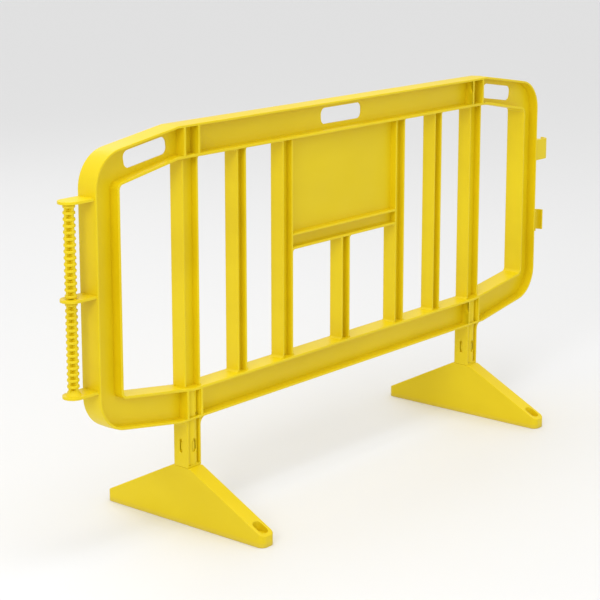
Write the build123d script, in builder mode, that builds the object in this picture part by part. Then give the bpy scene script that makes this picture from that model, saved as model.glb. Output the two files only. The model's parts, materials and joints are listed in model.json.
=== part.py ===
"""Linking crowd barrier: a moulded lattice panel that stands on two swivelling feet.

Millimetres.  X runs along the barrier, Y through it with the front at -Y, and Z is up from the
ground at z = 0.  The origin is on the ground under the middle of the panel.  The -X end carries
the ribbed coupling rod and the +X end the two hooks that clip onto the next barrier's rod.
"""

import os
from math import atan, cos, degrees, radians, sin

from build123d import *

os.makedirs("parts", exist_ok=True)

# ---- Overall ---------------------------------------------------------------------------------
overall_length = 2000.0  # outer end of the rod brackets to the far side of the hooks
overall_height = 1000.0
ground_gap = 270.0  # clear height under the bottom rail
running_gap = 0.3  # between parts that turn past each other
spigot_clearance = 0.08  # radial, between a foot's spigot and its socket

# ---- Panel rim: rails, end arms and stiles, an H-section with its web at mid-depth ------------
rim_depth = 58.0
rim_flange = 7.0  # at the web, thinner towards the rim's faces
web_thickness = 5.0
draft = 2.5  # degrees, on the rim's outer edge, each way from the parting line at y = 0
top_rail_height = 81.0
bottom_rail_height = 80.0
stile_width = 78.0
end_drop = 42.0  # the top rail falls by this from the post to the end
end_rise = 44.0  # the bottom rail rises by this
top_arm_height = 87.0  # rim width where the top arm meets the stile
bottom_arm_height = 83.0
corner_radius = 92.0
kink_clearance = 2.5  # from the foot socket's gusset to where the rails start to slope
opening_radius = 8.0
stile_corner_radius = 12.0

# ---- Uprights ---------------------------------------------------------------------------------
end_bay = 320.0  # post centre line to the end of the rim
post_width = 56.0
outer_bar_width = 36.0
inner_bar_width = 42.0
centre_bar_width = 36.0
bar_gap = 138.0  # clear, post to outer bar and outer bar to inner bar
upright_depth = 40.0
upright_flange = 6.0

# ---- Sign field ---------------------------------------------------------------------------------
sign_height = 247.0
ledge_height = 42.0

# ---- Handholds ----------------------------------------------------------------------------------
handhold_height = 42.0
handhold_radius = 16.0
centre_handhold_length = 170.0
end_handhold_length = 143.0
end_handhold_offset = 132.5  # from the post's centre line

# ---- Coupling: rod, brackets and hooks -----------------------------------------------------------
coupling_reach = 80.0  # from the end of the rim to the end of the barrier
rod_boss_radius = 10.0  # where the rod passes through a bracket
fin_reach = 13.0  # the rod's four fins, from its axis
fin_thickness = 6.0
rib_radius = 14.5
rib_thickness = 7.0
rib_pitch = 14.8
rib_round = 2.0
collar_radius = 19.0
collar_height = 12.0
bracket_radius = 26.0
bracket_thickness = 7.0
bracket_top_drop = 138.0  # top bracket below the top of the panel
bracket_bottom_rise = 140.0  # bottom bracket above the bottom of the panel
bracket_count = 3
hook_clearance = 1.5  # radial, hook to rib
hook_wall = 6.0
hook_height = 62.0
hook_mouth_angle = 140.0
hook_neck_width = 20.0
hook_lip_round = 2.5

# ---- Foot socket: a bored tube between two side plates -------------------------------------------
foot_top_z = 148.0
socket_rib = 4.5  # the post's ribs clasp the column between them
bore_radius = 19.0
socket_wall = 4.0  # of the tube round the bore
socket_plate = 5.0
socket_floor = 6.0  # closes the front and back at the bottom
gusset_radius = 20.0
spigot_height = 140.0
spigot_headroom = 4.0
groove_depth = 2.0  # ring groove round the bore for the catches
catch_bottom_z = 192.0
catch_height = 20.0
side_window_width = 9.0
front_window_width = 13.0
window_height = 35.0
window_centre_z = 202.5
pin_hole_radius = 3.0
pin_hole_z = 283.0
pin_hole_offset = 9.0

# ---- Foot ---------------------------------------------------------------------------------------
foot_length = 530.0
foot_crown_length = 60.0
foot_tip_height = 28.0
foot_wall = 4.0
foot_tip_radius = 16.0
foot_edge_round = 2.5
spigot_wall = 6.0
spigot_lead_in = 3.0
catch_width = 8.0
catch_stand_off = 1.7  # how far a catch stands out from the spigot
catch_lead_in = 1.2
rib_plate_thickness = 3.0
rib_plate_spacing = 55.0
rib_plates_per_side = 3
anchor_radius = 6.5
anchor_boss_radius = 12.0
anchor_inset = 28.5  # anchor hole's axis from the foot's tip
pocket_length = 37.0
pocket_width = 28.0
pocket_corner = 12.0
pocket_floor_z = 26.0

# ---- Cuts between the panel's members --------------------------------------------------------------
cut_offset = 6.0  # from a rail's, arm's or ledge's edge into the opening beside it
member_margin = 2.0  # from an upright's side into the openings beside it

# ---- Worked out from the above --------------------------------------------------------------------
hook_inner_radius = rib_radius + hook_clearance
hook_outer_radius = hook_inner_radius + hook_wall
panel_half = overall_length / 2 - coupling_reach
rod_x = -overall_length / 2 + bracket_radius
hook_x = overall_length / 2 - hook_outer_radius
post_x = panel_half - end_bay
column_width = post_width - 2 * socket_rib
kink_x = post_x + column_width / 2 + gusset_radius + kink_clearance
stile_inner_x = panel_half - stile_width
outer_bar_x = post_x - post_width / 2 - bar_gap - outer_bar_width / 2
inner_bar_x = outer_bar_x - outer_bar_width / 2 - bar_gap - inner_bar_width / 2
sign_half = inner_bar_x - inner_bar_width / 2

rail_top_z = overall_height - top_rail_height
rail_bottom_z = ground_gap + bottom_rail_height
arm_slope = end_drop / (panel_half - kink_x)
arm_top_z = overall_height - arm_slope * (stile_inner_x - kink_x) - top_arm_height
arm_rise = end_rise / (panel_half - kink_x)
arm_bottom_z = ground_gap + arm_rise * (stile_inner_x - kink_x) + bottom_arm_height
sign_bottom_z = rail_top_z - sign_height
ledge_bottom_z = sign_bottom_z - ledge_height

column_bottom_z = foot_top_z + running_gap
column_top_z = rail_bottom_z - rim_flange
spigot_radius = bore_radius - spigot_clearance
bore_top_z = foot_top_z + spigot_height + spigot_headroom
groove_radius = bore_radius + groove_depth
foot_width = column_width
anchor_y = foot_length / 2 - anchor_inset

bracket_high_z = overall_height - bracket_top_drop
bracket_low_z = ground_gap + bracket_bottom_rise
bracket_pitch = (bracket_high_z - bracket_low_z) / (bracket_count - 1)

upright_top_z = rail_top_z - cut_offset
upright_bottom_z = rail_bottom_z + cut_offset
stile_top_z = arm_top_z - cut_offset
stile_bottom_z = arm_bottom_z + cut_offset
ledge_low_z = ledge_bottom_z - cut_offset
plate_low_z = sign_bottom_z + member_margin
plate_side_x = sign_half - member_margin


def save(piece, name):
    """Label a finished piece and write it as its own STEP file."""
    piece.part.label = name
    export_step(piece.part, f"parts/{name}.step")


# ==== Outlines in the X-Z plane ======================================================================
def rim_outline(inset):
    """The panel's outer edge, moved inwards by inset."""
    with BuildSketch(Plane.XZ) as outline:
        with BuildLine():
            Polyline(
                (kink_x, overall_height),
                (-kink_x, overall_height),
                (-panel_half, overall_height - end_drop),
                (-panel_half, ground_gap + end_rise),
                (-kink_x, ground_gap),
                (kink_x, ground_gap),
                (panel_half, ground_gap + end_rise),
                (panel_half, overall_height - end_drop),
                close=True,
            )
        make_face()
        ends = outline.vertices().group_by(Axis.X)
        fillet(ends[0] + ends[-1], corner_radius)
        if inset:
            offset(amount=-inset)
    return outline.sketch


def lattice_outline(margin):
    """The edge of the space between the rails and stiles, moved outwards by margin."""
    with BuildSketch(Plane.XZ) as outline:
        with BuildLine():
            Polyline(
                (kink_x, rail_top_z),
                (-kink_x, rail_top_z),
                (-stile_inner_x, arm_top_z),
                (-stile_inner_x, arm_bottom_z),
                (-post_x, rail_bottom_z),
                (post_x, rail_bottom_z),
                (stile_inner_x, arm_bottom_z),
                (stile_inner_x, arm_top_z),
                close=True,
            )
        make_face()
        ends = outline.vertices().group_by(Axis.X)
        fillet(ends[0] + ends[-1], stile_corner_radius)
        if margin:
            offset(amount=margin, kind=Kind.INTERSECTION)
    return outline.sketch


def lattice_field(x_low, x_high, z_low, z_high, radius):
    """The part of the lattice space inside a rectangle, with its corners rounded."""
    with BuildSketch(Plane.XZ) as field:
        add(lattice_outline(0))
        with Locations(((x_low + x_high) / 2, (z_low + z_high) / 2)):
            Rectangle(x_high - x_low, z_high - z_low, mode=Mode.INTERSECT)
        if radius:
            inner_edge = field.vertices().group_by(Axis.X)
            fillet(inner_edge[0] + inner_edge[-1], radius)
    return field.sketch


# ==== The panel moulding =============================================================================
# Moulded in one piece in two half tools that part at y = 0, where the rim's outer edge is proudest.
uprights = [
    (-post_x, post_width),
    (-outer_bar_x, outer_bar_width),
    (-inner_bar_x, inner_bar_width),
    (inner_bar_x, inner_bar_width),
    (outer_bar_x, outer_bar_width),
    (post_x, post_width),
]

# Clear gaps to the right of the middle, as (x near, x far, z high).  The left has the same.
half_centre_bar = centre_bar_width / 2
gaps = [
    (half_centre_bar, sign_half, ledge_bottom_z),
    (inner_bar_x + inner_bar_width / 2, outer_bar_x - outer_bar_width / 2, overall_height),
    (outer_bar_x + outer_bar_width / 2, post_x - post_width / 2, overall_height),
]

with BuildPart() as openings:
    for side in (-1, 1):
        for x_near, x_far, z_high in gaps:
            x_low, x_high = sorted((side * x_near, side * x_far))
            gap = lattice_field(x_low, x_high, ground_gap, z_high, opening_radius)
            extrude(gap, amount=rim_depth, both=True)
        x_low, x_high = sorted((side * (post_x + post_width / 2), side * panel_half))
        bay = lattice_field(x_low, x_high, ground_gap, overall_height, 0)
        extrude(bay, amount=rim_depth, both=True)

# The uprights stand back from the rim's faces.
with BuildPart() as setback:
    extrude(lattice_outline(0), amount=rim_depth, both=True)
    Box(
        overall_length,
        upright_depth,
        overall_height,
        align=(Align.CENTER, Align.CENTER, Align.MIN),
        mode=Mode.SUBTRACT,
    )

# Channels on both faces of the web.
with BuildSketch(Plane.XZ) as channel_outline:
    add(rim_outline(rim_flange))
    add(lattice_outline(rim_flange), mode=Mode.SUBTRACT)
    for side in (-1, 1):
        for edge in (-1, 1):
            rib_x = side * post_x + edge * (post_width - rim_flange) / 2
            with Locations((rib_x, overall_height / 2)):
                Rectangle(rim_flange, overall_height, mode=Mode.SUBTRACT)
    for x, width in uprights:
        half_channel = width / 2 - upright_flange
        add(lattice_field(x - half_channel, x + half_channel, ground_gap, overall_height, 0))
    half_channel = half_centre_bar - upright_flange
    add(lattice_field(-half_channel, half_channel, ground_gap, ledge_bottom_z, 0))
    add(lattice_field(-sign_half, sign_half, sign_bottom_z, overall_height, 0))
    with Locations((0, ledge_bottom_z + ledge_height / 2)):
        Rectangle(2 * sign_half, ledge_height - 2 * upright_flange)

with BuildPart() as channels:
    extrude(channel_outline.sketch, amount=rim_depth, both=True)
    Box(
        overall_length,
        web_thickness,
        overall_height,
        align=(Align.CENTER, Align.CENTER, Align.MIN),
        mode=Mode.SUBTRACT,
    )

with BuildSketch(Plane.XZ) as handhold_outline:
    with Locations((0, overall_height - top_rail_height / 2)):
        RectangleRounded(centre_handhold_length, handhold_height, handhold_radius)
    for side in (-1, 1):
        grip_x = post_x + end_handhold_offset
        grip_top_z = overall_height - arm_slope * (grip_x - kink_x)
        grip_z = grip_top_z - (top_rail_height + top_arm_height) / 4
        tilt = side * degrees(atan(arm_slope))
        with Locations(Location((side * grip_x, grip_z), -tilt)):
            RectangleRounded(end_handhold_length, handhold_height, handhold_radius)

with BuildPart() as moulding:
    extrude(rim_outline(0), amount=rim_depth / 2, both=True, taper=draft)
    add(setback.part, mode=Mode.SUBTRACT)
    add(openings.part, mode=Mode.SUBTRACT)
    add(channels.part, mode=Mode.SUBTRACT)
    extrude(handhold_outline.sketch, amount=rim_depth, both=True, mode=Mode.SUBTRACT)
    with Locations((-post_x, 0, 0), (post_x, 0, 0)):
        Box(
            column_width,
            column_width,
            column_top_z,
            align=(Align.CENTER, Align.CENTER, Align.MIN),
            mode=Mode.SUBTRACT,
        )


def member(name, x_low, x_high, z_low, z_high):
    """One member of the moulding: what lies between two upright and two level cut planes."""
    with BuildPart() as piece:
        add(moulding.part)
        with Locations(((x_low + x_high) / 2, 0, (z_low + z_high) / 2)):
            Box(x_high - x_low, 2 * rim_depth, z_high - z_low, mode=Mode.INTERSECT)
    save(piece, name)


member("top_rail", -kink_x, kink_x, upright_top_z, overall_height)
member("bottom_rail", -kink_x, kink_x, 0, upright_bottom_z)
for side_name, side in (("left", -1), ("right", 1)):
    x_low, x_high = sorted((side * kink_x, side * overall_length))
    member(f"{side_name}_top_arm", x_low, x_high, stile_top_z, overall_height)
    member(f"{side_name}_stile", x_low, x_high, stile_bottom_z, stile_top_z)
    member(f"{side_name}_bottom_arm", x_low, x_high, 0, stile_bottom_z)
    for bar_name, x, width in (
        ("post", post_x, post_width),
        ("outer_bar", outer_bar_x, outer_bar_width),
        ("inner_bar", inner_bar_x, inner_bar_width),
    ):
        half = width / 2 + member_margin
        x_low = side * x - half
        x_high = side * x + half
        member(f"{side_name}_{bar_name}", x_low, x_high, upright_bottom_z, upright_top_z)

member("sign_plate", -plate_side_x, plate_side_x, plate_low_z, upright_top_z)
member("sign_ledge", -plate_side_x, plate_side_x, ledge_low_z, plate_low_z)
half = half_centre_bar + member_margin
member("centre_bar", -half, half, upright_bottom_z, ledge_low_z)


# ==== Foot sockets ===================================================================================
def foot_socket(x_centre):
    """A bored tube between two side plates, moulded into the bottom rail between the post's ribs."""
    reach = column_width / 2 + gusset_radius
    with BuildPart() as socket:
        with BuildSketch(Plane.XZ) as outline:
            with BuildLine():
                Polyline(
                    (x_centre - column_width / 2, column_bottom_z),
                    (x_centre + column_width / 2, column_bottom_z),
                    (x_centre + column_width / 2, ground_gap - gusset_radius),
                    (x_centre + reach, ground_gap),
                    (x_centre + reach, ground_gap + rim_flange / 2),
                    (x_centre - reach, ground_gap + rim_flange / 2),
                    (x_centre - reach, ground_gap),
                    (x_centre - column_width / 2, ground_gap - gusset_radius),
                    close=True,
                )
            make_face()
            with Locations(
                (x_centre - reach, ground_gap - gusset_radius),
                (x_centre + reach, ground_gap - gusset_radius),
            ):
                Circle(gusset_radius, mode=Mode.SUBTRACT)
            with Locations((x_centre, column_bottom_z)):
                Rectangle(column_width, column_top_z - column_bottom_z, align=(Align.CENTER, Align.MIN))
        extrude(amount=column_width / 2, both=True)
        add(moulding.part, mode=Mode.SUBTRACT)
        with BuildSketch(Plane((x_centre, 0, column_bottom_z + socket_floor))):
            Rectangle(column_width - 2 * socket_plate, 2 * column_width)
            Circle(bore_radius + socket_wall, mode=Mode.SUBTRACT)
        extrude(amount=column_top_z - column_bottom_z - socket_floor, mode=Mode.SUBTRACT)
        with BuildSketch(Plane((x_centre, 0, column_bottom_z))):
            Circle(bore_radius)
        extrude(amount=bore_top_z - column_bottom_z, mode=Mode.SUBTRACT)
        with BuildSketch(Plane((x_centre, 0, catch_bottom_z - running_gap))):
            Circle(groove_radius)
        extrude(amount=catch_height + 2 * running_gap, mode=Mode.SUBTRACT)
        for face_plane, window_width in ((Plane.XZ, front_window_width), (Plane.YZ, side_window_width)):
            window_plane = Plane(
                (x_centre, 0, window_centre_z),
                x_dir=face_plane.x_dir,
                z_dir=face_plane.z_dir,
            )
            with BuildSketch(window_plane):
                SlotOverall(window_height, window_width, rotation=90)
            extrude(amount=column_width, both=True, mode=Mode.SUBTRACT)
        with BuildSketch(Plane.XZ):
            with Locations((x_centre + pin_hole_offset, pin_hole_z)):
                Circle(pin_hole_radius)
        extrude(amount=column_width, mode=Mode.SUBTRACT)
    return socket


# ==== Feet ===========================================================================================
def foot_block(x_centre, inset):
    """The foot's outer form, or with an inset the hollow inside it, which is open at the bottom."""
    half = foot_length / 2
    base_z = -2 * inset
    with BuildPart() as block:
        with BuildSketch(Plane.YZ.offset(x_centre)):
            with BuildLine():
                Polyline(
                    (-half, base_z),
                    (half, base_z),
                    (half, foot_tip_height),
                    (foot_crown_length / 2, foot_top_z),
                    (-foot_crown_length / 2, foot_top_z),
                    (-half, foot_tip_height),
                    close=True,
                )
            make_face()
            if inset:
                offset(amount=-inset, kind=Kind.INTERSECTION)
        extrude(amount=foot_width / 2 - inset, both=True)
        tips = block.edges().filter_by(Axis.Z).group_by(Axis.Y)
        fillet(tips[0] + tips[-1], foot_tip_radius - inset)
        if not inset:
            top_edges = block.edges().filter_by(lambda edge: edge.center().Z > foot_tip_height / 2)
            rounded = top_edges.filter_by(Axis.X, reverse=True).filter_by(Axis.Z, reverse=True)
            fillet(rounded, foot_edge_round)
    return block.part


def tip_pocket(x_centre, y_centre, grow):
    """The flat-floored pocket round an anchor hole, or with grow the wall round that pocket."""
    with BuildPart() as pocket:
        with BuildSketch(Plane((x_centre, y_centre, pocket_floor_z - grow))):
            RectangleRounded(pocket_width + 2 * grow, pocket_length + 2 * grow, pocket_corner + grow)
        extrude(amount=foot_top_z)
    return pocket.part


def foot_cavity(x_centre):
    """The hollow underneath a foot, around the pockets' walls and the anchor bosses."""
    with BuildPart() as cavity:
        add(foot_block(x_centre, foot_wall))
        for y in (-anchor_y, anchor_y):
            add(tip_pocket(x_centre, y, foot_wall), mode=Mode.SUBTRACT)
            with Locations((x_centre, y, 0)):
                Cylinder(anchor_boss_radius, 2 * foot_top_z, mode=Mode.SUBTRACT)
    return cavity.part


for side_name, side in (("left", -1), ("right", 1)):
    x_centre = side * post_x
    save(foot_socket(x_centre), f"{side_name}_foot_socket")

    cavity = foot_cavity(x_centre)
    with BuildPart() as foot_shell:
        add(foot_block(x_centre, 0))
        add(cavity, mode=Mode.SUBTRACT)
        for y in (-anchor_y, anchor_y):
            add(tip_pocket(x_centre, y, 0), mode=Mode.SUBTRACT)
            with Locations((x_centre, y, 0)):
                Cylinder(anchor_radius, 2 * foot_top_z, mode=Mode.SUBTRACT)
    save(foot_shell, f"{side_name}_foot_shell")

    with BuildPart() as foot_ribs:
        for direction in (-1, 1):
            for index in range(rib_plates_per_side):
                y = direction * (foot_crown_length / 2 + index * rib_plate_spacing)
                with Locations((x_centre, y, foot_wall)):
                    Box(
                        foot_width,
                        rib_plate_thickness,
                        foot_top_z,
                        align=(Align.CENTER, Align.CENTER, Align.MIN),
                    )
        add(cavity, mode=Mode.INTERSECT)
    save(foot_ribs, f"{side_name}_foot_ribs")

    with BuildPart() as spigot:
        with BuildSketch(Plane((x_centre, 0, foot_top_z))):
            Circle(spigot_radius)
        extrude(amount=spigot_height)
        chamfer(spigot.edges().group_by(Axis.Z)[-1], spigot_lead_in)
        with BuildSketch(Plane((x_centre, 0, foot_top_z))):
            Circle(spigot_radius - spigot_wall)
        extrude(amount=spigot_height, mode=Mode.SUBTRACT)
    save(spigot, f"{side_name}_foot_spigot")

    catch_radius = spigot_radius + catch_stand_off
    with BuildPart() as catches:
        with BuildSketch(Plane((x_centre, 0, catch_bottom_z))):
            Rectangle(2 * catch_radius, catch_width)
            Rectangle(catch_width, 2 * catch_radius)
            Circle(catch_radius, mode=Mode.INTERSECT)
            Circle(spigot_radius, mode=Mode.SUBTRACT)
        extrude(amount=catch_height)
        top_edges = catches.edges().group_by(Axis.Z)[-1].filter_by(GeomType.CIRCLE)
        chamfer(top_edges.group_by(SortBy.RADIUS)[-1], catch_lead_in)
    save(catches, f"{side_name}_foot_catches")


# ==== Coupling rod and its brackets ==================================================================
bracket_heights = [bracket_high_z - index * bracket_pitch for index in range(bracket_count)]
rod_low_z = bracket_heights[-1] - bracket_thickness / 2


def rod_rib(z):
    """One ring of the ribbed rod."""
    with BuildPart() as rib:
        with Locations((rod_x, 0, z)):
            Cylinder(rib_radius, rib_thickness)
        fillet(rib.edges().filter_by(GeomType.CIRCLE), rib_round)
    return rib.part


with BuildPart() as coupling_rod:
    for upper_z, lower_z in zip(bracket_heights, bracket_heights[1:]):
        span = upper_z - lower_z - bracket_thickness
        with BuildSketch(Plane((rod_x, 0, lower_z + bracket_thickness / 2))):
            Rectangle(2 * fin_reach, fin_thickness)
            Rectangle(fin_thickness, 2 * fin_reach)
        extrude(amount=span)
        rib_count = int((span - rib_thickness) / rib_pitch) + 1
        first_rib_z = (upper_z + lower_z - (rib_count - 1) * rib_pitch) / 2
        for index in range(rib_count):
            add(rod_rib(first_rib_z + index * rib_pitch))
    for z in bracket_heights:
        with Locations((rod_x, 0, z)):
            Cylinder(rod_boss_radius, bracket_thickness)
    with Locations((rod_x, 0, rod_low_z + bracket_thickness)):
        Cone(
            collar_radius,
            rod_boss_radius,
            collar_height,
            align=(Align.CENTER, Align.CENTER, Align.MIN),
        )
save(coupling_rod, "coupling_rod")

for bracket_name, z in zip(("top", "middle", "bottom"), bracket_heights):
    with BuildPart() as bracket:
        with BuildSketch(Plane.XY.offset(z - bracket_thickness / 2)):
            with Locations((rod_x, 0)):
                Circle(bracket_radius)
                Rectangle(
                    -panel_half + rim_flange / 2 - rod_x,
                    2 * bracket_radius,
                    align=(Align.MIN, Align.CENTER),
                )
                Circle(rod_boss_radius, mode=Mode.SUBTRACT)
        extrude(amount=bracket_thickness)
        add(moulding.part, mode=Mode.SUBTRACT)
    save(bracket, f"{bracket_name}_rod_bracket")


# ==== Hooks ==========================================================================================
def coupling_hook(z_centre, mouth):
    """A C-shaped hook on the end of the rim, open to the back (mouth 1) or to the front (-1)."""
    neck_start_x = panel_half - rim_flange / 2
    wedge_reach = 2 * hook_outer_radius
    with BuildPart() as hook:
        with BuildSketch(Plane.XY.offset(z_centre - hook_height / 2)) as outline:
            with Locations((hook_x, 0)):
                Circle(hook_outer_radius)
            neck_y = -mouth * (hook_outer_radius - hook_neck_width / 2)
            with Locations(((neck_start_x + hook_x) / 2, neck_y)):
                Rectangle(hook_x - neck_start_x, hook_neck_width)
            with Locations((hook_x, 0)):
                Circle(hook_inner_radius, mode=Mode.SUBTRACT)
            with BuildLine():
                half_mouth = radians(hook_mouth_angle / 2)
                wedge_x = wedge_reach * sin(half_mouth)
                wedge_y = mouth * wedge_reach * cos(half_mouth)
                Polyline(
                    (hook_x, 0),
                    (hook_x + wedge_x, wedge_y),
                    (hook_x + wedge_x, mouth * wedge_reach),
                    (hook_x - wedge_x, mouth * wedge_reach),
                    (hook_x - wedge_x, wedge_y),
                    close=True,
                )
            make_face(mode=Mode.SUBTRACT)
            lips = outline.vertices().filter_by(lambda vertex: vertex.Y * mouth > 0)
            fillet(lips, hook_lip_round)
        extrude(amount=hook_height)
        add(moulding.part, mode=Mode.SUBTRACT)
    return hook


upper_hook_z = (bracket_heights[0] + bracket_heights[1]) / 2
lower_hook_z = (bracket_heights[1] + bracket_heights[2]) / 2
save(coupling_hook(upper_hook_z, 1), "upper_hook")
save(coupling_hook(lower_hook_z, -1), "lower_hook")
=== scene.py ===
# %% [markdown]
# # A linking crowd barrier
# The real thing is one big lattice panel, injection moulded in yellow polypropylene, that drops
# onto two feet which swivel under it. One end carries a ribbed rod and the other two hooks, and
# the hooks of one barrier clip onto the rod of the next.
#
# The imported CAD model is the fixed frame: it gives every place and size here, in metres.

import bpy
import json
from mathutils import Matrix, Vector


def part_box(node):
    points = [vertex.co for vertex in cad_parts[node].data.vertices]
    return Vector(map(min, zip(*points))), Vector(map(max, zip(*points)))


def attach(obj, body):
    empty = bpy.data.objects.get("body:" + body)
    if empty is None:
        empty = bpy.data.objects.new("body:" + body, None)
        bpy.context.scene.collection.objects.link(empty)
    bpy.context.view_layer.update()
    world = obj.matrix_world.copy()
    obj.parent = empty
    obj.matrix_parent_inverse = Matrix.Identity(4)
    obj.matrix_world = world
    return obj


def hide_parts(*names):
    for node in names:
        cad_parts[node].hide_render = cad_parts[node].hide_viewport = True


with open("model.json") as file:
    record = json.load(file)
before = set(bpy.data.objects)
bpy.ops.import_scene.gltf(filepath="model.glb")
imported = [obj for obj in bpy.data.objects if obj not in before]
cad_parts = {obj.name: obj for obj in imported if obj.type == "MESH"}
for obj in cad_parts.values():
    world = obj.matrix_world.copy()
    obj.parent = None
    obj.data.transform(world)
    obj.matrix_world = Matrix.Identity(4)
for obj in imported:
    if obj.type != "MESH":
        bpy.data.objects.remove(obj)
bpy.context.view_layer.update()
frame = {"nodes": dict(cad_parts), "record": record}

# %% Blender's own tools
import json
import math

import bmesh
import bpy
from mathutils import Vector
from mathutils.bvhtree import BVHTree

MM = 0.001
body_of = {
    node: body for body, nodes in frame["record"]["behaviour"]["bodies"].items() for node in nodes
}
print("bodies:", sorted(set(body_of.values())))

# %% [markdown]
# ## Two small helpers for materials
# Paint and plastic colours are usually written as sRGB hex values, while the renderer works in
# linear light, so one function turns the one into the other. Node trees are wired by a second
# function that adds a node with its settings and its incoming links in one line.


# %% Colour and node helpers
def linear(hex_colour):
    """An sRGB hex colour such as "#EDD018" as linear RGBA."""
    channels = [int(hex_colour[i:i + 2], 16) / 255 for i in (1, 3, 5)]
    return [c / 12.92 if c <= 0.04045 else ((c + 0.055) / 1.055) ** 2.4 for c in channels] + [1.0]


def add_node(tree, kind, settings=None, links=None):
    """Add a node. A setting is a property's or an input's name, or an input's number."""
    node = tree.nodes.new(kind)
    for key, value in (settings or {}).items():
        if isinstance(key, str) and key in node.bl_rna.properties:
            setattr(node, key, value)
        else:
            node.inputs[key].default_value = value
    for key, source in (links or {}).items():
        tree.links.new(source, node.inputs[key])
    return node


print("a mid yellow in linear light:", [round(c, 3) for c in linear("#EDD018")])

# %% [markdown]
# ## Injection-moulded polypropylene
# Polypropylene is a soft, slightly waxy plastic, coloured right through, so it has no paint to
# chip. Injection moulding gives it a satin skin with three faint marks that tell the eye what it
# is: a fine grain left by the tool's eroded steel, long soft waves and flow marks where the melt
# ran and shrank, and a hair-fine line where the two halves of the tool met.
#
# All of it is worked out from the position on the object, so the pattern runs on from one member
# to the next as it does in a one-piece moulding. The real grain is about 0.1 mm wide, too fine to
# show from a few metres, so it is drawn at 2.5 mm.


# %% Sizes of the marks in the plastic
grain_width = 2.5 * MM
wave_length = 90 * MM
wave_height = 0.5 * MM
flow_length = 450 * MM
flow_stretch = (0.6, 1.0, 1.8)
parting_line_width = 0.8 * MM
parting_line_height = 0.12 * MM
scuff_colour = "#B9A45A"
scuff_strength = 0.8
noise_middle = {"From Min": 0.3, "From Max": 0.7}  # where most of a noise's values lie
polypropylene_ior = 1.49
polypropylene_specular = 0.28
print("grain drawn at", round(grain_width / MM, 1), "mm")


# %% One recipe for the plastic, made up for each part that needs its own finish
def moulded_polypropylene(name, light, deep, smooth, rough, grain_depth, scuffed_below=None):
    """Satin polypropylene between two close colours and two roughnesses."""
    material = bpy.data.materials.new(name)
    material.use_nodes = True
    tree = material.node_tree
    tree.nodes.clear()
    place = add_node(tree, "ShaderNodeTexCoord").outputs["Object"]

    stretched = add_node(
        tree, "ShaderNodeMapping", {"Scale": flow_stretch}, {"Vector": place}
    ).outputs["Vector"]
    flow = add_node(
        tree,
        "ShaderNodeTexNoise",
        {"Scale": 1 / flow_length, "Detail": 3.0, "Roughness": 0.55, "Distortion": 0.4},
        {"Vector": stretched},
    ).outputs["Fac"]
    flow_mix = add_node(
        tree,
        "ShaderNodeMapRange",
        {**noise_middle, "To Min": 0.0, "To Max": 1.0},
        {"Value": flow},
    ).outputs["Result"]
    colour = add_node(
        tree,
        "ShaderNodeMixRGB",
        {"Color1": linear(deep), "Color2": linear(light)},
        {"Fac": flow_mix},
    ).outputs["Color"]

    waves = add_node(
        tree, "ShaderNodeTexNoise", {"Scale": 1 / wave_length, "Detail": 1.0}, {"Vector": place}
    ).outputs["Fac"]
    grain = add_node(
        tree, "ShaderNodeTexNoise", {"Scale": 1 / grain_width, "Detail": 2.0}, {"Vector": place}
    ).outputs["Fac"]
    roughness = add_node(
        tree,
        "ShaderNodeMapRange",
        {**noise_middle, "To Min": smooth, "To Max": rough},
        {"Value": waves},
    ).outputs["Result"]

    depth_through = add_node(tree, "ShaderNodeSeparateXYZ", links={0: place})
    from_middle = add_node(
        tree, "ShaderNodeMath", {"operation": "ABSOLUTE"}, {0: depth_through.outputs["Y"]}
    ).outputs[0]
    parting_line = add_node(
        tree,
        "ShaderNodeMapRange",
        {"From Min": parting_line_width, "From Max": 0.0, "To Max": parting_line_height},
        {"Value": from_middle},
    ).outputs["Result"]
    grain_height = add_node(
        tree,
        "ShaderNodeMath",
        {"operation": "MULTIPLY_ADD", 1: grain_depth},
        {0: grain, 2: parting_line},
    ).outputs[0]
    height = add_node(
        tree,
        "ShaderNodeMath",
        {"operation": "MULTIPLY_ADD", 1: wave_height},
        {0: waves, 2: grain_height},
    ).outputs[0]
    normal = add_node(
        tree, "ShaderNodeBump", {"Strength": 1.0, "Distance": 1.0}, {"Height": height}
    ).outputs["Normal"]

    if scuffed_below:
        near_ground = add_node(
            tree,
            "ShaderNodeMapRange",
            {"From Min": scuffed_below, "From Max": 0.0, "To Max": scuff_strength},
            {"Value": depth_through.outputs["Z"]},
        ).outputs["Result"]
        scuffs = add_node(
            tree, "ShaderNodeMath", {"operation": "MULTIPLY"}, {0: near_ground, 1: grain}
        ).outputs[0]
        colour = add_node(
            tree,
            "ShaderNodeMixRGB",
            {"Color2": linear(scuff_colour)},
            {"Fac": scuffs, "Color1": colour},
        ).outputs["Color"]

    shader = add_node(
        tree,
        "ShaderNodeBsdfPrincipled",
        {
            "IOR": polypropylene_ior,
            "Metallic": 0.0,
            "Specular IOR Level": polypropylene_specular,
        },
        {"Base Color": colour, "Roughness": roughness, "Normal": normal},
    )
    add_node(tree, "ShaderNodeOutputMaterial", links={"Surface": shader.outputs["BSDF"]})
    print("material:", name, len(tree.nodes), "nodes")
    return material


# %% The finishes of this barrier
scuff_height = 14 * MM
panel_plastic = moulded_polypropylene(
    "satin_moulded_polypropylene", "#E7CE0E", "#DDC208", 0.36, 0.46, 0.05 * MM
)
sign_plastic = moulded_polypropylene(
    "fine_matt_moulded_polypropylene", "#E2C80C", "#D9BE08", 0.46, 0.56, 0.08 * MM
)
foot_plastic = moulded_polypropylene(
    "scuffed_moulded_polypropylene", "#E5CB0E", "#DBC008", 0.38, 0.52, 0.06 * MM, scuff_height
)

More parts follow.
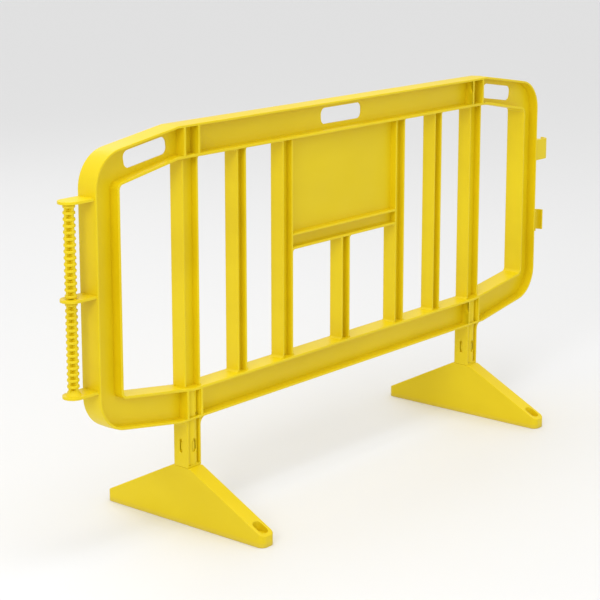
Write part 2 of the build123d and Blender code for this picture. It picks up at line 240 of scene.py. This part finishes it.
# %% [markdown]
# ## Members of the moulding, with their edges eased
# No moulded edge is sharp: the tool is rounded so that the melt flows and the part comes out, and
# those small rounds are what catch the light as thin bright lines. The CAD members have sharp
# edges, so each is shown by a copy with about 1 mm taken off every outer edge.
#
# The members are cuts of one moulding. An edge that lies on a neighbour is a cut and not an edge
# of the real thing, so it stays sharp, and the members meet without a seam. A search tree of each
# CAD mesh tells which edges those are.

# %% Search trees of the CAD meshes
surfaces = {}
for name, node in frame["nodes"].items():
    mesh = bmesh.new()
    mesh.from_mesh(node.data)
    surfaces[name] = BVHTree.FromBMesh(mesh)
    mesh.free()
print("search trees:", len(surfaces))


# %% Ease the free outer edges of a copy
weld_distance = 0.02 * MM
contact_distance = 0.06 * MM
edge_shares = (0.25, 0.5, 0.75)  # the places along an edge that are tested
round_segments = 2
flat_angle = math.radians(0.4)
sharp_angle = math.radians(28)


def lies_on_a_neighbour(edge, name):
    """Whether an edge runs along the surface of another node of the same body."""
    start, end = (vertex.co for vertex in edge.verts)
    points = [start.lerp(end, share) for share in edge_shares]
    neighbours = [n for n in surfaces if n != name and body_of[n] == body_of[name]]
    return any(
        all(surfaces[n].find_nearest(point, contact_distance)[0] for point in points)
        for n in neighbours
    )


def eased_copy(node, name, radius, material):
    """Show a CAD node by a copy of its mesh whose free outer edges are rounded."""
    mesh = bmesh.new()
    mesh.from_mesh(frame["nodes"][node].data)
    bmesh.ops.remove_doubles(mesh, verts=mesh.verts, dist=weld_distance)
    bmesh.ops.dissolve_limit(mesh, angle_limit=flat_angle, verts=mesh.verts, edges=mesh.edges)
    outer = [
        edge
        for edge in mesh.edges
        if edge.is_manifold and edge.calc_face_angle_signed() > sharp_angle
    ]
    free = [edge for edge in outer if not lies_on_a_neighbour(edge, node)]
    for face in mesh.faces:
        face.smooth = True
    for edge in mesh.edges:
        edge.smooth = edge.is_manifold and edge.calc_face_angle() < sharp_angle
    for edge in free:
        edge.smooth = True
    bmesh.ops.bevel(
        mesh,
        geom=free,
        offset=radius,
        offset_type="OFFSET",
        segments=round_segments,
        profile=0.5,
        affect="EDGES",
    )
    bmesh.ops.triangulate(mesh, faces=[face for face in mesh.faces if len(face.verts) > 4])
    data = bpy.data.meshes.new(name)
    mesh.to_mesh(data)
    mesh.free()
    piece = bpy.data.objects.new(name, data)
    bpy.context.scene.collection.objects.link(piece)
    data.materials.append(material)
    weighted = piece.modifiers.new("flat faces stay flat", "WEIGHTED_NORMAL")
    weighted.keep_sharp = True
    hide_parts(node)
    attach(piece, body_of[node])
    print(f"{name}: {len(free)} edges eased, {len(outer) - len(free)} left on a cut")


# %% The rails, arms, stiles, posts and bars
outer_round = 1.1 * MM
sides = ("left", "right")
lattice = ["top_rail", "bottom_rail", "centre_bar", "sign_ledge"] + [
    f"{side}_{member}"
    for side in sides
    for member in ("top_arm", "stile", "bottom_arm", "post", "outer_bar", "inner_bar")
]
for node in lattice:
    eased_copy(node, f"{node}_moulding", outer_round, panel_plastic)

# %% [markdown]
# ## The sign field
# The closed field between the inner bars takes a printed sign or a sticker. It is moulded with a
# finer, matter grain than the rails, because ink and glue hold better on it.

# %% The sign field
eased_copy("sign_plate", "sign_field", outer_round, sign_plastic)

# %% [markdown]
# ## Sockets, brackets and hooks
# These small features are part of the same moulding. Their walls are thinner than the rails', and
# their edges are eased a little less so that the windows and lips keep their shape.

# %% The sockets, brackets and hooks
small_round = 0.8 * MM
for side in sides:
    eased_copy(
        f"{side}_foot_socket", f"{side}_socket_column", small_round, panel_plastic
    )
for place in ("top", "middle", "bottom"):
    eased_copy(
        f"{place}_rod_bracket",
        f"{place}_bracket_plate",
        small_round,
        panel_plastic,
    )
for place in ("upper", "lower"):
    eased_copy(f"{place}_hook", f"{place}_hook_clip", small_round, panel_plastic)

# %% [markdown]
# ## The feet
# A foot is a thin shell, open underneath, with cross ribs inside, a hollow spigot that turns in
# the panel's socket, and four catches round the spigot. It stands on the ground and is dragged
# over it, so the lowest 14 mm of its plastic are a little scuffed.

# %% The feet
stiffener_round = 0.5 * MM
catch_round = 0.3 * MM
for side in sides:
    for node, name, radius in (
        ("foot_shell", "foot_cover", outer_round),
        ("foot_ribs", "foot_stiffeners", stiffener_round),
        ("foot_spigot", "foot_swivel_tube", small_round),
        ("foot_catches", "foot_snap_catches", catch_round),
    ):
        eased_copy(f"{side}_{node}", f"{side}_{name}", radius, foot_plastic)

# %% [markdown]
# ## The coupling rod
# A solid plastic rod would sink and warp as it cools, so the moulder makes it of four thin fins in
# a cross, with a round disc about every 15 mm. The discs let the next barrier's hooks grip at any
# height, so a row can step up a kerb or a slope, and they stop the hooks sliding.
#
# The same disc is repeated thirty times, which is a job for Geometry Nodes: a disc is swept once
# from a rounded profile, a line of points carries a row of them beside a bay's fins, and two more
# points carry that for each bay between the brackets. The sizes are inputs of the tree, so a
# thicker rod or a wider spacing is one number.

# %% Sizes of the rod, from the frame
rod_low, rod_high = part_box("coupling_rod")
rod_x = (rod_low.x + rod_high.x) / 2
bracket_boxes = [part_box(f"{place}_rod_bracket") for place in ("top", "middle", "bottom")]
bracket_heights = [(low.z + high.z) / 2 for low, high in bracket_boxes]
bracket_thickness = bracket_boxes[0][1].z - bracket_boxes[0][0].z
bay_pitch = bracket_heights[0] - bracket_heights[1]
bay_clear = bracket_boxes[0][0].z - bracket_boxes[1][1].z
bay_middle_z = (bracket_heights[0] + bracket_heights[1]) / 2
disc_radius = 14.5 * MM
disc_height = 7 * MM
disc_round = 2 * MM
disc_pitch = 14.8 * MM
fin_width = 26 * MM
fin_thickness = 6 * MM
boss_radius = 10 * MM
collar_radius = 19 * MM
collar_height = 12 * MM
disc_sides = 32
boss_sides = 40
rod_sharp_angle = math.radians(40)
discs_per_bay = int((bay_clear - disc_height) / disc_pitch) + 1
print("rod at x", round(rod_x, 4), "bays of", round(bay_clear, 4), "discs each", discs_per_bay)

# %% The rod's node tree: its named inputs
rod_tree = bpy.data.node_groups.new("finned_rod", "GeometryNodeTree")
rod_tree.interface.new_socket("Geometry", in_out="OUTPUT", socket_type="NodeSocketGeometry")
for name, kind in (
    ("Disc Radius", "NodeSocketFloat"),
    ("Disc Height", "NodeSocketFloat"),
    ("Disc Round", "NodeSocketFloat"),
    ("Disc Pitch", "NodeSocketVector"),
    ("First Disc", "NodeSocketVector"),
    ("Discs per Bay", "NodeSocketInt"),
    ("Fin Size", "NodeSocketVector"),
    ("Cross Fin Size", "NodeSocketVector"),
    ("Bay Middle", "NodeSocketVector"),
    ("Bay Pitch", "NodeSocketVector"),
    ("Bays", "NodeSocketInt"),
    ("Boss Radius", "NodeSocketFloat"),
    ("Boss Height", "NodeSocketFloat"),
    ("Top Boss", "NodeSocketVector"),
    ("Collar Radius", "NodeSocketFloat"),
    ("Collar Height", "NodeSocketFloat"),
    ("Collar Foot", "NodeSocketVector"),
):
    rod_tree.interface.new_socket(name, in_out="INPUT", socket_type=kind)
rod_sizes = add_node(rod_tree, "NodeGroupInput").outputs
print("inputs:", [socket.name for socket in rod_sizes if socket.name])

# %% One disc, swept round the axis from a profile with rounded corners
half_radius = add_node(
    rod_tree, "ShaderNodeMath", {"operation": "MULTIPLY", 1: 0.5}, {0: rod_sizes["Disc Radius"]}
).outputs[0]
profile = add_node(
    rod_tree,
    "GeometryNodeCurvePrimitiveQuadrilateral",
    links={"Width": rod_sizes["Disc Radius"], "Height": rod_sizes["Disc Height"]},
).outputs["Curve"]
profile = add_node(
    rod_tree,
    "GeometryNodeFilletCurve",
    {"mode": "POLY", "Count": 3},
    {"Curve": profile, "Radius": rod_sizes["Disc Round"]},
).outputs["Curve"]
disc_path = add_node(
    rod_tree,
    "GeometryNodeCurvePrimitiveCircle",
    {"Resolution": disc_sides},
    {"Radius": half_radius},
).outputs["Curve"]
disc = add_node(
    rod_tree, "GeometryNodeCurveToMesh", links={"Curve": disc_path, "Profile Curve": profile}
).outputs["Mesh"]

# %% A bay: a row of discs on two crossed fins
disc_points = add_node(
    rod_tree,
    "GeometryNodeMeshLine",
    links={
        "Count": rod_sizes["Discs per Bay"],
        "Start Location": rod_sizes["First Disc"],
        "Offset": rod_sizes["Disc Pitch"],
    },
).outputs["Mesh"]
disc_row = add_node(
    rod_tree, "GeometryNodeInstanceOnPoints", links={"Points": disc_points, "Instance": disc}
).outputs["Instances"]
bay = add_node(rod_tree, "GeometryNodeJoinGeometry")
for size in ("Fin Size", "Cross Fin Size"):
    fin = add_node(rod_tree, "GeometryNodeMeshCube", links={"Size": rod_sizes[size]})
    fin = add_node(
        rod_tree,
        "GeometryNodeTransform",
        links={"Geometry": fin.outputs["Mesh"], "Translation": rod_sizes["Bay Middle"]},
    ).outputs["Geometry"]
    rod_tree.links.new(fin, bay.inputs["Geometry"])
rod_tree.links.new(disc_row, bay.inputs["Geometry"])

# %% The bays, and the bosses between them where the rod passes through its brackets
bay_points = add_node(
    rod_tree,
    "GeometryNodeMeshLine",
    links={"Count": rod_sizes["Bays"], "Offset": rod_sizes["Bay Pitch"]},
).outputs["Mesh"]
bay_instance = add_node(
    rod_tree, "GeometryNodeGeometryToInstance", links={"Geometry": bay.outputs["Geometry"]}
).outputs["Instances"]
bays = add_node(
    rod_tree, "GeometryNodeInstanceOnPoints", links={"Points": bay_points, "Instance": bay_instance}
).outputs["Instances"]
boss_count = add_node(
    rod_tree, "ShaderNodeMath", {"operation": "ADD", 1: 1.0}, {0: rod_sizes["Bays"]}
).outputs[0]
boss_points = add_node(
    rod_tree,
    "GeometryNodeMeshLine",
    links={
        "Count": boss_count,
        "Start Location": rod_sizes["Top Boss"],
        "Offset": rod_sizes["Bay Pitch"],
    },
).outputs["Mesh"]
boss = add_node(
    rod_tree,
    "GeometryNodeMeshCylinder",
    {"Vertices": boss_sides},
    {"Radius": rod_sizes["Boss Radius"], "Depth": rod_sizes["Boss Height"]},
).outputs["Mesh"]
bosses = add_node(
    rod_tree, "GeometryNodeInstanceOnPoints", links={"Points": boss_points, "Instance": boss}
).outputs["Instances"]
collar = add_node(
    rod_tree,
    "GeometryNodeMeshCone",
    {"Vertices": boss_sides},
    {
        "Radius Top": rod_sizes["Boss Radius"],
        "Radius Bottom": rod_sizes["Collar Radius"],
        "Depth": rod_sizes["Collar Height"],
    },
).outputs["Mesh"]
collar = add_node(
    rod_tree,
    "GeometryNodeTransform",
    links={"Geometry": collar, "Translation": rod_sizes["Collar Foot"]},
).outputs["Geometry"]

# %% Join, realise, and give the plastic
joined = add_node(rod_tree, "GeometryNodeJoinGeometry")
for part in (collar, bosses, bays):
    rod_tree.links.new(part, joined.inputs["Geometry"])
realised = add_node(
    rod_tree, "GeometryNodeRealizeInstances", links={"Geometry": joined.outputs["Geometry"]}
).outputs["Geometry"]
finished = add_node(
    rod_tree, "GeometryNodeSetMaterial", {"Material": panel_plastic}, {"Geometry": realised}
).outputs["Geometry"]
add_node(rod_tree, "NodeGroupOutput", links={"Geometry": finished})
print("rod tree:", len(rod_tree.nodes), "nodes")

# %% Set the sizes, evaluate the tree, and keep the result as a plain mesh
rod_maker = bpy.data.objects.new("rod_maker", bpy.data.meshes.new("rod_maker"))
bpy.context.scene.collection.objects.link(rod_maker)
rod_modifier = rod_maker.modifiers.new("finned rod", "NODES")
rod_modifier.node_group = rod_tree
identifier = {
    item.name: item.identifier for item in rod_tree.interface.items_tree if item.in_out == "INPUT"
}
for name, value in {
    "Disc Radius": disc_radius,
    "Disc Height": disc_height,
    "Disc Round": disc_round,
    "Disc Pitch": (0.0, 0.0, -disc_pitch),
    "First Disc": (rod_x, 0.0, bay_middle_z + (discs_per_bay - 1) * disc_pitch / 2),
    "Discs per Bay": discs_per_bay,
    "Fin Size": (fin_width, fin_thickness, bay_clear),
    "Cross Fin Size": (fin_thickness, fin_width, bay_clear),
    "Bay Middle": (rod_x, 0.0, bay_middle_z),
    "Bay Pitch": (0.0, 0.0, -bay_pitch),
    "Bays": len(bracket_boxes) - 1,
    "Boss Radius": boss_radius,
    "Boss Height": bracket_thickness,
    "Top Boss": (rod_x, 0.0, bracket_heights[0]),
    "Collar Radius": collar_radius,
    "Collar Height": collar_height,
    "Collar Foot": (rod_x, 0.0, rod_low.z + bracket_thickness),
}.items():
    rod_modifier[identifier[name]] = value
evaluated = rod_maker.evaluated_get(bpy.context.evaluated_depsgraph_get())
rod_mesh = bpy.data.meshes.new_from_object(evaluated)
bpy.data.objects.remove(rod_maker)

rod = bpy.data.objects.new("finned_coupling_rod", rod_mesh)
bpy.context.scene.collection.objects.link(rod)
work = bmesh.new()
work.from_mesh(rod_mesh)
bmesh.ops.recalc_face_normals(work, faces=work.faces)
for face in work.faces:
    face.smooth = True
for edge in work.edges:
    edge.smooth = edge.is_manifold and edge.calc_face_angle() < rod_sharp_angle
work.to_mesh(rod_mesh)
work.free()
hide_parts("coupling_rod")
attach(rod, "panel")
print("rod:", len(rod_mesh.polygons), "faces, CAD", rod_low, rod_high)

# %% [markdown]
# ## The studio
# The barrier stands on a plain pale floor in soft light. The strongest lamp stands in front on the
# rod's side, so that the faces that look towards the rod and the top edges are the brightest, and
# the white surroundings fill the channels. The floor is big enough to run out of view on every
# side.

# %% The floor
floor_half = 60.0
floor_mesh = bpy.data.meshes.new("studio_floor")
floor_corners = [
    (-floor_half, -floor_half, 0.0),
    (floor_half, -floor_half, 0.0),
    (floor_half, floor_half, 0.0),
    (-floor_half, floor_half, 0.0),
]
floor_mesh.from_pydata(floor_corners, [], [(0, 1, 2, 3)])
floor = bpy.data.objects.new("studio_floor", floor_mesh)
bpy.context.scene.collection.objects.link(floor)
floor_paint = bpy.data.materials.new("matt_white_studio_floor")
floor_paint.use_nodes = True
floor_shader = floor_paint.node_tree.nodes["Principled BSDF"]
floor_shader.inputs["Base Color"].default_value = linear("#E3E3E3")
floor_shader.inputs["Roughness"].default_value = 0.6
floor_mesh.materials.append(floor_paint)

# %% The surroundings and the lamps
horizon_glow = 0.62
overhead_glow = 1.05
world = bpy.data.worlds.new("white_studio")
bpy.context.scene.world = world
world.use_nodes = True
surroundings = world.node_tree.nodes["Background"]
surroundings.inputs["Color"].default_value = linear("#FFFFFF")
direction = add_node(world.node_tree, "ShaderNodeTexCoord").outputs["Generated"]
upwards = add_node(world.node_tree, "ShaderNodeSeparateXYZ", links={0: direction}).outputs["Z"]
glow = add_node(
    world.node_tree,
    "ShaderNodeMapRange",
    {"From Min": 0.0, "From Max": 0.8, "To Min": horizon_glow, "To Max": overhead_glow},
    {"Value": upwards},
).outputs["Result"]
world.node_tree.links.new(glow, surroundings.inputs["Strength"])

lamp_aim = Vector((0.0, 0.0, 0.5))
for name, place, size, power in (
    ("overhead_softbox", (-0.6, -0.6, 4.4), 2.4, 44.0),
    ("rod_side_lamp", (-4.8, -1.5, 2.8), 1.6, 60.0),
    ("back_lamp", (1.5, 4.2, 3.6), 2.6, 22.0),
    ("front_softbox", (-0.8, -4.8, 2.6), 2.8, 14.0),
):
    lamp_data = bpy.data.lights.new(name, "AREA")
    lamp_data.shape = "DISK"
    lamp_data.size = size
    lamp_data.energy = power
    lamp = bpy.data.objects.new(name, lamp_data)
    lamp.location = place
    lamp.rotation_euler = (lamp_aim - lamp.location).to_track_quat("-Z", "Y").to_euler()
    bpy.context.scene.collection.objects.link(lamp)
    print("lamp:", name, power, "W")

# %% The camera
camera_data = bpy.data.cameras.new("studio_camera")
camera_data.lens = 107.0
camera_data.sensor_width = 36.0
camera_data.shift_y = -0.12
camera = bpy.data.objects.new("studio_camera", camera_data)
bpy.context.scene.collection.objects.link(camera)
camera.location = (-3.648, -2.905, 1.599)
view_target = Vector((-0.105, 0.052, 0.66))
camera.rotation_euler = (view_target - camera.location).to_track_quat("-Z", "Y").to_euler()
bpy.context.scene.camera = camera
bpy.context.scene.view_settings.view_transform = "Standard"
print("camera at", [round(c, 3) for c in camera.location], "lens", camera_data.lens, "mm")
